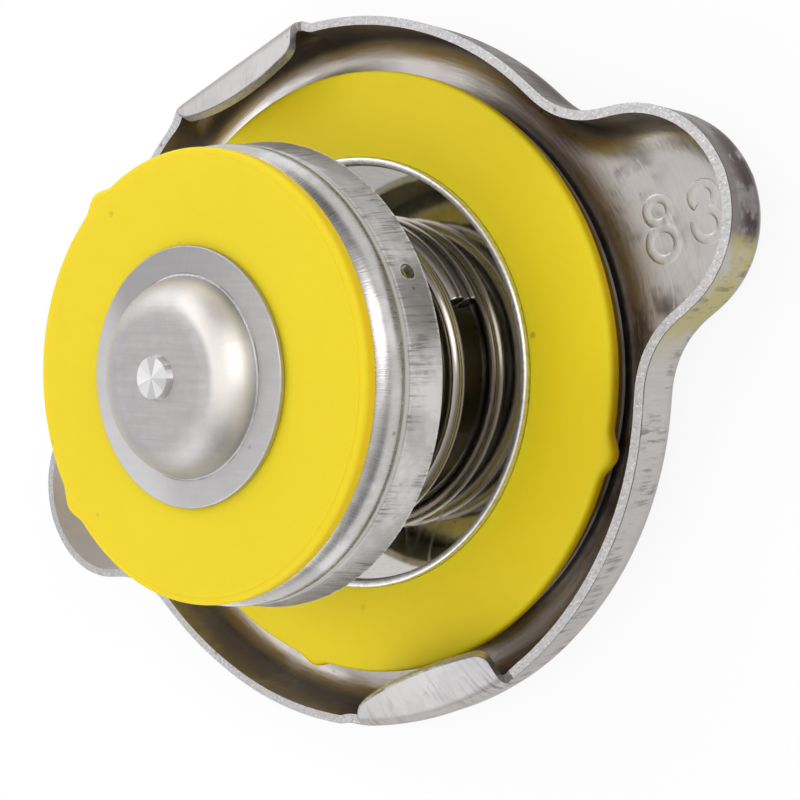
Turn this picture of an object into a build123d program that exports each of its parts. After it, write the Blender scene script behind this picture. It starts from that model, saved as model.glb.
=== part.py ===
from build123d import *
from math import asin, cos, degrees, radians, sin
import os

# Pressure cap for a radiator filler neck, standing on its flat top.
# +Z points from the top of the cap to its valve, +X runs along the ears,
# and the origin is the centre of the top face that the cap stands on.
# All sizes are millimetres.

# Pressed shell
sheet = 0.7                 # stainless sheet of the shell
skirt_radius = 29.0         # outside of the round skirt
rim_height = 7.8            # from the resting face to the skirt's cut edge
ear_rim_rise = 0.6          # the ears' cut edge stands this much higher
rim_rise_start = 21.0       # from the axis to where the edge starts to rise
rim_rise_end = 32.0         # and to where it is level again
deck_height = 1.2           # ring round the crown and ears, above the resting face
corner_radius = 3.3         # drawn corner between top and skirt, outside
ear_reach = 38.0            # from the axis to the tip of an ear
ear_nose_radius = 8.2       # round end of an ear
neck_radius = 7.0           # hollow curve where an ear leaves the skirt
crown_radius = 19.0         # raised disc that the cap stands on
recess_radius = 6.5         # dimple in the crown for the rivet head
recess_depth = 1.3

# Bayonet tabs, folded in from the rim at right angles to the ears
tab_fold_inset = 0.2        # the fold's outside lies this far inside the skirt's reach
tab_start = -7.2            # end of the fold that runs out into the skirt
tab_end = 6.9               # end of the fold at the relief notch
tab_middle = 1.6            # where the tab is deepest
tab_depth = 3.5             # from the bend to the deepest point of the free edge
tab_edge_radius = 16.0      # curve of the tab's free edge
tab_nose_radius = 2.4       # rounding of the free edge at the fold's run-out
tab_corner_radius = 0.9     # rounding of the free edge at the notch
tab_bend_radius = 1.0       # to the middle of the sheet
tab_bend_angle = 60.0
tab_root_height = 4.0       # where the wall starts to flatten for the fold
tab_fold_height = 6.7       # where the bend starts
tab_blend_angle = 4.0       # arc of skirt over which the fold runs out
notch_angle = 1.7           # width of the relief notch, seen from the axis
notch_depth = 0.7           # below the skirt's cut edge
seam_overlap = 0.3          # degrees of skirt shared with a tab's wall

# Turning stack on the centre rivet
washer_thickness = 0.4
turn_gap = 0.05             # face and radial clearance of the turning stack
rivet_radius = 2.6
rivet_head_radius = 5.0
rivet_head_height = 0.75
rivet_tail_radius = 3.2
rivet_tail_height = 0.8
disc_radius = 24.4          # spring disc behind the gasket
disc_thickness = 0.4
gasket_radius = 25.0
gasket_thickness = 2.75
gasket_bore_radius = 11.6
gasket_edge_round = 0.8
plate_radius = 17.9         # outside of the turned-up rim
plate_sheet = 0.6
plate_face_drop = 0.3       # polished face below the gasket's face
plate_rim_rise = 0.55       # rim above the gasket's face
plate_rim_round = 0.25
plate_bend_round = 0.4      # to the middle of the sheet
plate_well_radius = 9.6
post_radius = 4.2
post_bore_radius = 3.35
post_foot_radius = 7.0
post_foot_thickness = 0.8
post_stop_radius = 5.1
post_stop_thickness = 0.6

# Pressure valve
seal_reach = 18.6           # from the gasket's face to the valve seal's face
seal_radius = 16.9
seal_thickness = 1.2
seal_edge_round = 0.3
cup_sheet = 0.7
cup_radius = 18.0           # outside of the cup's open edge
cup_crease_radius = 17.4    # where the flared wall meets the round shoulder
cup_wall_height = 3.1       # from the open edge to the crease
cup_depth = 6.1             # from the open edge to the face under the seal
cup_shoulder_round = 1.8    # to the middle of the sheet
cup_crease_round = 0.4
vent_radius = 0.6           # small hole in the cup's wall
vent_angle = 3.1
hub_wall = 0.6
hub_flange_radius = 8.6
hub_bore_gap = 0.1          # round the post's flared end
hub_lip_gap = 0.08          # radial running clearance on the post
ferrule_bore_radius = 3.8
ferrule_wall = 0.6
ferrule_flange_radius = 6.3
ferrule_flange_thickness = 0.4
ferrule_crimp_radius = 4.95
ferrule_crimp_height = 0.5
ferrule_floor_bore = 1.7
spring_wire_radius = 0.9
spring_coil_radius = 12.5   # to the middle of the wire
spring_closed_pitch = 1.95
spring_active_turns = 3
spring_end_turn = 0.85      # closed turn at the valve end
spring_start_angle = 4.9    # where the cut end lies on the plate
valve_travel = 5.0          # lift of the pressure valve, towards the gasket
post_clearance = 3.2        # left under the hub at full lift

# Vacuum valve
vacuum_radius = 9.7
vacuum_sheet = 0.5
vacuum_edge_round = 0.15
dome_base_radius = 7.3
dome_wall_lean = 0.7        # the dome's wall leans in by this much
dome_height = 2.6
dome_base_round = 0.4       # to the middle of the sheet
dome_top_round = 3.0
stem_radius = 1.1
stem_head_radius = 1.7
stem_head_height = 0.55
stem_foot_radius = 1.6
stem_foot_height = 0.5
keeper_radius = 2.95
keeper_thickness = 0.4
vacuum_spring_length = 5.0
vacuum_wire_radius = 0.25
vacuum_coil_radius = 2.4
vacuum_turns = 4

# Moulding nubs on the edges of both silicone rings
nub_radius = 1.3
nub_reach = 0.6             # how far a nub stands out of the ring
gasket_nub_angles = (-33.1, -122.1)
seal_nub_angles = (104.9, -164.6)

# Heights of the stack above the resting face
recess_ceiling = recess_depth + sheet
disc_bottom = recess_ceiling + washer_thickness + turn_gap
disc_top = disc_bottom + disc_thickness
gasket_top = disc_top + gasket_thickness
plate_face = gasket_top - plate_face_drop
well_top = disc_top + plate_sheet
foot_top = well_top + post_foot_thickness
tail_bottom = foot_top + turn_gap
hub_bottom = foot_top + valve_travel + post_clearance
hub_lip_top = hub_bottom + hub_wall
post_top = hub_lip_top + post_stop_thickness
seal_top = gasket_top + seal_reach
seal_bottom = seal_top - seal_thickness
cup_edge = seal_bottom - cup_depth
cup_crease = cup_edge + cup_wall_height
cup_ceiling = seal_bottom - cup_sheet
crimp_top = cup_ceiling - hub_wall
crimp_bottom = crimp_top - ferrule_crimp_height
keeper_top = crimp_bottom - vacuum_spring_length
dome_top = seal_top + vacuum_sheet + dome_height

# Radii and angles that follow from the sizes above
tab_fold_distance = skirt_radius - tab_fold_inset
turn_bore = rivet_radius + turn_gap
ferrule_radius = ferrule_bore_radius + ferrule_wall
hub_bore_radius = post_stop_radius + hub_bore_gap
tab_near = 90 - degrees(asin(tab_end / skirt_radius))
tab_far = 90 + degrees(asin(-tab_start / skirt_radius))
tab_run_out = tab_far + tab_blend_angle

os.makedirs("parts", exist_ok=True)


def polar(angle, radius):
    """Point of a circle round the axis, by its angle in degrees."""
    return (radius * cos(radians(angle)), radius * sin(radians(angle)))


def cap_form(inset, top):
    """The shell's outer form, or its inner form at one sheet of inset."""
    ear_centre = ear_reach - ear_nose_radius
    deck = deck_height + inset
    with BuildPart() as form:
        with BuildSketch(Plane.XY.offset(deck)) as outline:
            Circle(skirt_radius - inset)
            with Locations((ear_centre, 0), (-ear_centre, 0)):
                Circle(ear_nose_radius - inset)
            necks = [v for v in outline.vertices() if abs(v.Y) > ear_nose_radius / 2]
            fillet(necks, neck_radius + inset)
        extrude(amount=top - deck)
        fillet(form.edges().group_by(Axis.Z)[0], corner_radius - inset)
        with BuildSketch(Plane.XZ):
            with BuildLine():
                Polyline(
                    (0, inset),
                    (crown_radius - inset, inset),
                    (crown_radius - inset + deck_height, deck),
                    (0, deck),
                    close=True,
                )
            make_face()
        revolve(axis=Axis.Z)
        with BuildSketch(Plane.XY):
            Circle(recess_radius + inset)
        extrude(amount=recess_depth + inset, mode=Mode.SUBTRACT)
    return form.part


def above_rim():
    """Everything above the skirt's cut edge, which rises smoothly towards the ears."""
    ear_rim = rim_height + ear_rim_rise
    far = 2 * ear_reach
    with BuildPart() as space:
        with BuildSketch(Plane.XZ):
            with BuildLine():
                Line((-rim_rise_start, rim_height), (rim_rise_start, rim_height))
                for side in (-1, 1):
                    Spline(
                        (side * rim_rise_start, rim_height), (side * rim_rise_end, ear_rim),
                        tangents=((side, 0), (side, 0)),
                    )
                    Line((side * rim_rise_end, ear_rim), (side * far, ear_rim))
                    Line((side * far, ear_rim), (side * far, 2 * ear_rim))
                Line((-far, 2 * ear_rim), (far, 2 * ear_rim))
            make_face()
        extrude(amount=far, both=True)
    return space.part


def tab_wall_plan(height, flat):
    """Plan of the wall under a tab: part of the round skirt, or drawn flat for the fold."""
    inner_radius = skirt_radius - sheet
    inner_fold = tab_fold_distance - sheet
    outer_end = polar(tab_run_out, skirt_radius)
    inner_end = polar(tab_run_out, inner_radius)
    towards_fold = (sin(radians(tab_run_out)), -cos(radians(tab_run_out)))
    from_fold = (-towards_fold[0], -towards_fold[1])
    with BuildSketch(Plane.XY.offset(height)) as plan:
        with BuildLine():
            if flat:
                Line((tab_end, tab_fold_distance), (tab_start, tab_fold_distance))
                Spline((tab_start, tab_fold_distance), outer_end, tangents=((-1, 0), from_fold))
                Line(outer_end, inner_end)
                Spline(inner_end, (tab_start, inner_fold), tangents=(towards_fold, (1, 0)))
                Line((tab_start, inner_fold), (tab_end, inner_fold))
                Line((tab_end, inner_fold), (tab_end, tab_fold_distance))
            else:
                CenterArc((0, 0), skirt_radius, tab_near, tab_far - tab_near)
                CenterArc((0, 0), skirt_radius, tab_far, tab_blend_angle)
                Line(outer_end, inner_end)
                CenterArc((0, 0), inner_radius, tab_run_out, -tab_blend_angle)
                CenterArc((0, 0), inner_radius, tab_far, tab_near - tab_far)
                Line(polar(tab_near, inner_radius), polar(tab_near, skirt_radius))
        make_face()
    return plan.sketch


def bayonet_tab():
    """One tab: the flattened wall, the bend, and the flap with its curved free edge."""
    bend = radians(tab_bend_angle)
    bend_y = tab_fold_distance - sheet / 2 - tab_bend_radius
    bend_end_y = bend_y + tab_bend_radius * cos(bend)
    bend_end_z = tab_fold_height + tab_bend_radius * sin(bend)
    flap_step = polar(90 + tab_bend_angle, tab_depth + sheet)
    edge_plane = Plane(
        origin=(0, bend_end_y - tab_depth * sin(bend), bend_end_z + tab_depth * cos(bend)),
        x_dir=(1, 0, 0), z_dir=(0, cos(bend), sin(bend)),
    )
    with BuildPart() as flap:
        with BuildSketch(Plane.YZ.offset(tab_start)):
            with BuildLine():
                CenterArc((bend_y, tab_fold_height), tab_bend_radius, 0, tab_bend_angle)
                Line(
                    (bend_end_y, bend_end_z),
                    (bend_end_y + flap_step[0], bend_end_z + flap_step[1]),
                )
            trace(line_width=sheet)
        extrude(amount=tab_end - tab_start)
        with BuildSketch(edge_plane) as edge:
            with Locations((tab_middle, tab_edge_radius)):
                Circle(tab_edge_radius)
            with Locations((tab_start, 0)):
                Rectangle(
                    tab_end - tab_start, 4 * tab_edge_radius,
                    align=(Align.MIN, Align.CENTER), mode=Mode.INTERSECT,
                )
            fillet(edge.vertices().group_by(Axis.X)[-1].sort_by(Axis.Y)[0], tab_corner_radius)
            fillet(edge.vertices().group_by(Axis.X)[0].sort_by(Axis.Y)[0], tab_nose_radius)
        extrude(amount=skirt_radius, both=True, mode=Mode.INTERSECT)
    with BuildPart() as run_out:
        with BuildSketch(Plane.XY):
            add(tab_wall_plan(0, flat=True))
            with Locations((tab_start, 0)):
                Rectangle(
                    skirt_radius, 3 * skirt_radius,
                    align=(Align.MIN, Align.CENTER), mode=Mode.SUBTRACT,
                )
        extrude(amount=rim_height)
        with BuildSketch(Plane.XY):
            Circle(2 * skirt_radius)
        extrude(amount=tab_fold_height, mode=Mode.SUBTRACT)
    with BuildPart() as tab:
        add(tab_wall_plan(tab_root_height, flat=False))
        add(tab_wall_plan(tab_fold_height, flat=True))
        loft()
        add(flap.part)
        add(run_out.part)
    return tab.part


def skirt_sector(start, end, bottom):
    """Wedge that takes the round skirt away where a tab's own wall stands."""
    far = 2 * skirt_radius
    with BuildPart() as wedge:
        with BuildSketch(Plane.XY.offset(bottom)):
            with BuildLine():
                Polyline((0, 0), polar(start, far), polar(end, far), close=True)
            make_face()
        extrude(amount=rim_height)
    return wedge.part


def revolved_sheet(points, radii, thickness):
    """Round pressed part, from the middle line of its section."""
    with BuildPart() as pressed:
        with BuildSketch(Plane.XZ):
            with BuildLine():
                FilletPolyline(*points, radius=radii)
            trace(line_width=thickness)
        revolve(axis=Axis.Z)
    return pressed.part


def ring(inner, outer, bottom, height):
    """Flat ring round the cap's axis."""
    with BuildPart() as washer:
        with BuildSketch(Plane.XY.offset(bottom)):
            Circle(outer)
            Circle(inner, mode=Mode.SUBTRACT)
        extrude(amount=height)
    return washer.part


def nubs(radius, angles, bottom, height):
    """Moulding nubs on the outer edge of a silicone ring."""
    with BuildPart() as bumps:
        with BuildSketch(Plane.XY.offset(bottom)):
            for angle in angles:
                with Locations(polar(angle, radius + nub_reach - nub_radius)):
                    Circle(nub_radius)
        extrude(amount=height)
    return bumps.part


def coil_spring(radius, wire, bottom, spans, start_angle):
    """Right-hand compression spring: spans are turns and pitch, from the bottom up."""
    level = bottom
    with BuildPart() as spring:
        with BuildLine() as path:
            for turns, pitch in spans:
                Helix(pitch=pitch, height=turns * pitch, radius=radius, center=(0, 0, level))
                level += turns * pitch
        with BuildSketch(Plane(origin=path.line @ 0, z_dir=path.line % 0)):
            Circle(wire)
        sweep(path=path.line, is_frenet=True)
    return spring.part.rotate(Axis.Z, start_angle)


# Shell: one pressed sheet with two ears and two folded tabs
tab = bayonet_tab()
tab_seat = skirt_sector(tab_near + seam_overlap, tab_run_out - seam_overlap, tab_root_height)
notch = skirt_sector(tab_near - notch_angle, tab_near + seam_overlap, rim_height - notch_depth)
with BuildPart() as cap_shell:
    add(cap_form(0, 2 * rim_height))
    add(cap_form(sheet, 3 * rim_height), mode=Mode.SUBTRACT)
    add(above_rim(), mode=Mode.SUBTRACT)
    for cut in (tab_seat, notch):
        add(cut, mode=Mode.SUBTRACT)
        add(cut.mirror(Plane.XZ), mode=Mode.SUBTRACT)
    add(tab)
    add(tab.mirror(Plane.XZ))
    Hole(rivet_radius)
cap_shell.part.label = "cap_shell"

# Rivet that holds the turning stack to the shell, its tail peened inside the post
with BuildPart() as centre_rivet:
    with BuildSketch(Plane.XZ):
        with BuildLine():
            Polyline(
                (0, recess_depth - rivet_head_height),
                (rivet_head_radius - rivet_head_height, recess_depth - rivet_head_height),
                (rivet_head_radius, recess_depth),
                (rivet_radius, recess_depth),
                (rivet_radius, tail_bottom),
                (rivet_tail_radius, tail_bottom),
                (rivet_tail_radius, tail_bottom + rivet_tail_height / 2),
                (rivet_tail_radius - rivet_tail_height / 2, tail_bottom + rivet_tail_height),
                (0, tail_bottom + rivet_tail_height),
                close=True,
            )
        make_face()
    revolve(axis=Axis.Z)
centre_rivet.part.label = "centre_rivet"

with BuildPart() as friction_washer:
    add(ring(rivet_radius, recess_radius, recess_ceiling, washer_thickness))
friction_washer.part.label = "friction_washer"

with BuildPart() as spring_disc:
    add(ring(turn_bore, disc_radius, disc_bottom, disc_thickness))
spring_disc.part.label = "spring_disc"

# Gasket: rebated so that the plate's rim stands in it
with BuildPart() as cap_gasket:
    with BuildSketch(Plane.XY.offset(disc_top)):
        Circle(gasket_radius)
    extrude(amount=gasket_thickness)
    fillet(cap_gasket.edges().group_by(Axis.Z)[-1], gasket_edge_round)
    fillet(cap_gasket.edges().group_by(Axis.Z)[0], gasket_edge_round / 2)
    nub_height = gasket_thickness - 2 * gasket_edge_round
    add(nubs(gasket_radius, gasket_nub_angles, disc_top + gasket_edge_round, nub_height))
    with BuildSketch(Plane.XY.offset(gasket_top)):
        Circle(plate_radius)
    extrude(amount=-plate_face_drop - plate_sheet, mode=Mode.SUBTRACT)
    Hole(gasket_bore_radius)
cap_gasket.part.label = "cap_gasket"

# Spring plate: polished dish with a turned-up rim and a well on the rivet
half_plate = plate_sheet / 2
with BuildPart() as spring_plate:
    add(
        revolved_sheet(
            (
                (turn_bore, well_top - half_plate),
                (plate_well_radius, well_top - half_plate),
                (plate_well_radius + plate_sheet, plate_face - half_plate),
                (plate_radius - half_plate, plate_face - half_plate),
                (plate_radius - half_plate, gasket_top + plate_rim_rise),
            ),
            (plate_bend_round, plate_bend_round, plate_bend_round),
            plate_sheet,
        )
    )
    fillet(spring_plate.edges().group_by(Axis.Z)[-1], plate_rim_round)
spring_plate.part.label = "spring_plate"

# Guide post: its foot is held by the rivet, its flared end stops the valve
with BuildPart() as guide_post:
    add(ring(turn_bore, post_foot_radius, well_top, post_foot_thickness))
    add(ring(post_bore_radius, post_radius, foot_top, post_top - foot_top))
    add(ring(post_bore_radius, post_stop_radius, hub_lip_top, post_stop_thickness))
guide_post.part.label = "guide_post"

# Main spring: closed turns at both ends, open turns between them
spring_bottom = plate_face + spring_wire_radius
spring_height = cup_ceiling - plate_face - 2 * spring_wire_radius
active_height = spring_height - (1 + spring_end_turn) * spring_closed_pitch
with BuildPart() as pressure_spring:
    add(
        coil_spring(
            spring_coil_radius, spring_wire_radius, spring_bottom,
            (
                (1, spring_closed_pitch),
                (spring_active_turns, active_height / spring_active_turns),
                (spring_end_turn, spring_closed_pitch),
            ),
            spring_start_angle,
        )
    )
pressure_spring.part.label = "pressure_spring"

# Valve cup: flat face under the seal, round shoulder, crease and flared wall
half_cup = cup_sheet / 2
vent_direction = polar(vent_angle, 1)
vent_plane = Plane(
    origin=(0, 0, (cup_edge + cup_crease) / 2), z_dir=(vent_direction[0], vent_direction[1], 0)
)
with BuildPart() as valve_cup:
    add(
        revolved_sheet(
            (
                (ferrule_radius, seal_bottom - half_cup),
                (cup_crease_radius - half_cup, seal_bottom - half_cup),
                (cup_crease_radius - half_cup, cup_crease),
                (cup_radius - half_cup, cup_edge),
            ),
            (cup_shoulder_round, cup_crease_round),
            cup_sheet,
        )
    )
    with BuildSketch(vent_plane):
        Circle(vent_radius)
    extrude(amount=cup_radius + cup_sheet, mode=Mode.SUBTRACT)
valve_cup.part.label = "valve_cup"

# Hub: flanged tube under the cup, its lip slides on the post
with BuildPart() as valve_hub:
    add(ring(ferrule_radius, hub_flange_radius, crimp_top, hub_wall))
    add(ring(hub_bore_radius, hub_bore_radius + hub_wall, hub_bottom, crimp_top - hub_bottom))
    add(ring(post_radius + hub_lip_gap, hub_bore_radius, hub_bottom, hub_wall))
valve_hub.part.label = "valve_hub"

# Ferrule: clamps seal, cup and hub, and its floor seats the vacuum spring
with BuildPart() as seal_ferrule:
    add(ring(ferrule_bore_radius, ferrule_radius, crimp_bottom, seal_top - crimp_bottom))
    add(ring(ferrule_bore_radius, ferrule_flange_radius, seal_top, ferrule_flange_thickness))
    add(ring(ferrule_bore_radius, ferrule_crimp_radius, crimp_bottom, ferrule_crimp_height))
    add(ring(ferrule_floor_bore, ferrule_bore_radius, crimp_bottom, ferrule_crimp_height))
seal_ferrule.part.label = "seal_ferrule"

with BuildPart() as valve_seal:
    with BuildSketch(Plane.XY.offset(seal_bottom)):
        Circle(seal_radius)
    extrude(amount=seal_thickness)
    fillet(valve_seal.edges().group_by(Axis.Z)[-1], seal_edge_round)
    nub_height = seal_thickness - 1.5 * seal_edge_round
    add(nubs(seal_radius, seal_nub_angles, seal_bottom + seal_edge_round / 2, nub_height))
    Hole(ferrule_radius)
valve_seal.part.label = "valve_seal"

# Vacuum valve plate: flat ring on the seal, a crease, and a full dome with a flat centre
half_vacuum = vacuum_sheet / 2
with BuildPart() as vacuum_plate:
    add(
        revolved_sheet(
            (
                (stem_radius, dome_top - half_vacuum),
                (dome_base_radius - dome_wall_lean, dome_top - half_vacuum),
                (dome_base_radius, seal_top + half_vacuum),
                (vacuum_radius, seal_top + half_vacuum),
            ),
            (dome_top_round, dome_base_round),
            vacuum_sheet,
        )
    )
    round_edges = vacuum_plate.edges().filter_by(GeomType.CIRCLE)
    fillet(round_edges.sort_by(SortBy.RADIUS)[-2:], vacuum_edge_round)
vacuum_plate.part.label = "vacuum_plate"

# Stem: staked head on the dome, headed foot under the keeper washer
keeper_bottom = keeper_top - keeper_thickness
with BuildPart() as vacuum_stem:
    with BuildSketch(Plane.XZ):
        with BuildLine():
            Polyline(
                (0, keeper_bottom - stem_foot_height),
                (stem_foot_radius, keeper_bottom - stem_foot_height),
                (stem_foot_radius, keeper_bottom),
                (stem_radius, keeper_bottom),
                (stem_radius, dome_top),
                (stem_head_radius, dome_top),
                (stem_head_radius - stem_head_height / 3, dome_top + stem_head_height),
                (0, dome_top + stem_head_height),
                close=True,
            )
        make_face()
    revolve(axis=Axis.Z)
vacuum_stem.part.label = "vacuum_stem"

with BuildPart() as stem_keeper:
    add(ring(stem_radius, keeper_radius, keeper_bottom, keeper_thickness))
stem_keeper.part.label = "stem_keeper"

with BuildPart() as vacuum_spring:
    vacuum_height = vacuum_spring_length - 2 * vacuum_wire_radius
    add(
        coil_spring(
            vacuum_coil_radius, vacuum_wire_radius, keeper_top + vacuum_wire_radius,
            ((vacuum_turns, vacuum_height / vacuum_turns),), 0,
        )
    )
vacuum_spring.part.label = "vacuum_spring"

export_step(cap_shell.part, "parts/cap_shell.step")
export_step(centre_rivet.part, "parts/centre_rivet.step")
export_step(friction_washer.part, "parts/friction_washer.step")
export_step(spring_disc.part, "parts/spring_disc.step")
export_step(cap_gasket.part, "parts/cap_gasket.step")
export_step(spring_plate.part, "parts/spring_plate.step")
export_step(guide_post.part, "parts/guide_post.step")
export_step(pressure_spring.part, "parts/pressure_spring.step")
export_step(valve_cup.part, "parts/valve_cup.step")
export_step(valve_hub.part, "parts/valve_hub.step")
export_step(seal_ferrule.part, "parts/seal_ferrule.step")
export_step(valve_seal.part, "parts/valve_seal.step")
export_step(vacuum_plate.part, "parts/vacuum_plate.step")
export_step(vacuum_stem.part, "parts/vacuum_stem.step")
export_step(stem_keeper.part, "parts/stem_keeper.step")
export_step(vacuum_spring.part, "parts/vacuum_spring.step")
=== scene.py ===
import bpy
import bmesh
import math
import numpy as np
from mathutils import Matrix, Vector


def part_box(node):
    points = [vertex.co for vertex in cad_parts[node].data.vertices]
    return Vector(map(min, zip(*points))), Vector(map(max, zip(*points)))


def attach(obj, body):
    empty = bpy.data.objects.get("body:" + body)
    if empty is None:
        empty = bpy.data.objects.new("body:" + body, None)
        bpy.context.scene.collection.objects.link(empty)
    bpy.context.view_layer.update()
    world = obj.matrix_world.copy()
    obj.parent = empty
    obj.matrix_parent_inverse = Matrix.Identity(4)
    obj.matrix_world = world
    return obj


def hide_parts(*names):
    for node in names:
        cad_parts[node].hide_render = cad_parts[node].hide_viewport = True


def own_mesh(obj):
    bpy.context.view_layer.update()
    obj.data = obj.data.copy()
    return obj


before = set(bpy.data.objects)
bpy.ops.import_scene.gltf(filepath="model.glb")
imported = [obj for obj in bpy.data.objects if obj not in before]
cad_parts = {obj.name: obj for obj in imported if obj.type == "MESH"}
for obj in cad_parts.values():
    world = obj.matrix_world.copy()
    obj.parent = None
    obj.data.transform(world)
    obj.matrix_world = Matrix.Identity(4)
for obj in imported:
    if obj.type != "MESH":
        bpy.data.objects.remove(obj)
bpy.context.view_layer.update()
MM = 0.001

# Shell sizes in millimetres, the same driving values as the solids
sheet = 0.7
skirt_radius = 29.0
rim_height = 7.8
ear_rim_rise = 0.6
rim_rise_start = 21.0
rim_rise_end = 32.0
deck_height = 1.2
corner_radius = 3.3
ear_reach = 38.0
ear_nose_radius = 8.2
neck_radius = 7.0
crown_radius = 19.0
crown_step = (-0.3, 1.6)     # the step up to the deck, from the crown's radius
recess_radius = 6.5
recess_wall = (-0.5, 0.6)    # the recess wall, from the recess radius
recess_depth = 1.3
rivet_radius = 2.6
fold_distance = 28.95
back_flatness = 1.0          # the wall under a tab: 1 is flat, 0 stays round
front_flatness = 0.15
flat_fade = (-0.1, 2.0)      # that wall turns round again here, from the tab's end
fold_height = 6.7
wall_bend_start = 3.2
tab_start = -8.0
tab_run_in = 0.4             # the bend is full this far past the tab's start
nose_width = 1.7             # the free edge rounds into the rim over this
run_out_end = -10.2          # the wall is round again here
tab_end = 6.9
tab_middle = 1.1
tab_depth = 2.9
tab_edge_radius = 18.5
tab_corner_radius = 0.9
tab_bend_radius = 1.8        # outside of the sheet
tab_bend_angle = math.radians(66)
notch_height = 7.5
notch_floor = 0.2            # level part of the notch, beside the tab
notch_end = 8.0
tab_zone = 11.0              # the skirt is plain beyond this x
tab_side = 20.0              # and where its y is below this
far_below = 30.0             # distance below the rim given to the crown and deck
rim_bevel = 0.06

# Columns and rows of the shell's grid
outline_columns = 131
outline_easing = 9           # columns in the running mean that eases the ears
notch_columns = (10, 14)     # up to the notch, across it
tab_columns = (12, 35, 25)   # round its corner, along its edge, down its nose
run_out_columns = 19
last_column = -10.6          # x of one more column before the plain skirt
column_slack = 0.01          # takes in the notch's last column
face_rings = (
    rivet_radius, 4.2, 5.4, 5.9, 6.1, 6.3, 6.5, 6.7, 6.9, 7.2, 8.5, 11.0, 14.0, 17.0,
    18.4, 18.7, 18.95, 19.2, 19.5, 19.8, 20.1, 20.4, 20.7, 21.2,
)
deck_rows = 12
corner_rows = 8
wall_rows = 6
rim_rows = 2                 # from the bend line to the height of the notch
flap_rows = 16

# Pressed numerals: each stroke is centre x, y, reach x, y, first and last angle
numeral_half_width = 0.42
numeral_rise = 0.045
numeral_sink = 0.02          # how far the pad's sides reach into the sheet
numeral_columns = 73
numeral_strokes = {
    "numeral_eight": ((29.42, 1.33, 0.95, 0.95, 0, 360), (28.98, -1.12, 1.15, 1.2, 0, 360)),
    "numeral_three": ((33.15, 0.82, 0.95, 0.9, -60, 215), (32.75, -1.28, 1.05, 1.1, 150, 425)),
}

# Silicone rings
gasket_radius = 25.0
gasket_lip = 1.25            # upright part of its edge; below it the edge is undercut
gasket_undercut = 1.6
gasket_bore = 11.6
rebate_radius = 17.9
rebate_depth = 0.9
seal_radius = 16.9
seal_bore = 4.4
nub_reach = 0.75
nub_half_width = 2.0         # along the edge of the ring
nub_depth = 1.2              # a nub fades out this far in from the edge
nub_fullness = 0.35          # lower is fuller over the ring's height
seal_line_inset = 0.55       # faint moulding line on the seal's face
seal_line_drop = 0.05
gasket_nub_angles = (-35.5, -122.1)
seal_nub_angles = (104.9, -164.6)
gasket_low, gasket_high = (corner[2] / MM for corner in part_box("cap_gasket"))
seal_low, seal_high = (corner[2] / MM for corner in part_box("valve_seal"))
ring_columns = 480
rounding_points = 6

# Springs: turns and pitch of each span from the bottom up; None fills the rest
main_wire_radius = 0.9
main_coil_radius = 12.5
main_coil_spans = ((1, 1.95), (3, None), (0.85, 1.95))
main_start_angle = 4.9
small_wire_radius = 0.25
small_coil_radius = 2.4
small_coil_spans = ((4, None),)
points_per_turn = 96
points_round_wire = 24
cut_distances = (0, 0, 0.02, 0.07, 0.14, 0.25)     # rings at a cut end, in wire radii
cut_sizes = (0, 0.93, 0.98, 1, 1, 1)

# Valve cup and plates, for their marks
cup_edge = 16.9
cup_crease = 20.0
vent_y = 0.96
plate_face = 5.3
dome_base_radius = 7.3


# Meshes from whole arrays

def grid_mesh(name, points, closed_columns=False, keep=None):
    """Mesh of a grid of points with shape (columns, rows, 3) in millimetres.

    Each quad joins a column to the next one; keep is an optional mask of the
    quads that are made, with shape (column steps, row steps)."""
    columns, rows = points.shape[:2]
    index = np.arange(columns * rows).reshape(columns, rows)
    if closed_columns:
        index = np.vstack((index, index[:1]))
    quads = np.stack(
        (index[:-1, :-1], index[1:, :-1], index[1:, 1:], index[:-1, 1:]), axis=-1
    )
    if keep is not None:
        quads = quads[keep]
    quads = quads.reshape(-1, 4)
    mesh = bpy.data.meshes.new(name)
    mesh.from_pydata((points.reshape(-1, 3) * MM).tolist(), [], quads.tolist())
    return mesh


def merged(mesh):
    """The mesh with doubled points merged, degenerate faces dropped and its faces
    turned outwards."""
    distance = 2e-6
    work = bmesh.new()
    work.from_mesh(mesh)
    bmesh.ops.remove_doubles(work, verts=work.verts, dist=distance)
    bmesh.ops.dissolve_degenerate(work, edges=work.edges, dist=distance)
    loose = [v for v in work.verts if not v.link_faces]
    bmesh.ops.delete(work, geom=loose, context="VERTS")
    bmesh.ops.recalc_face_normals(work, faces=work.faces)
    work.to_mesh(mesh)
    work.free()
    mesh.shade_smooth()
    return mesh


def piece(name, mesh, material):
    """Object at the origin with its place in its mesh."""
    mesh.materials.append(material)
    item = bpy.data.objects.new(name, mesh)
    bpy.context.scene.collection.objects.link(item)
    return item


def smooth_step(low, high, value):
    """Rises from 0 to 1 between low and high as t * t * (3 - 2t)."""
    t = np.clip((value - low) / (high - low), 0, 1)
    return t * t * (3 - 2 * t)


def steps(start, end, count):
    """Evenly spaced values after start, the last of them end."""
    return np.linspace(start, end, count + 1)[1:]


# Pressed shell

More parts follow.
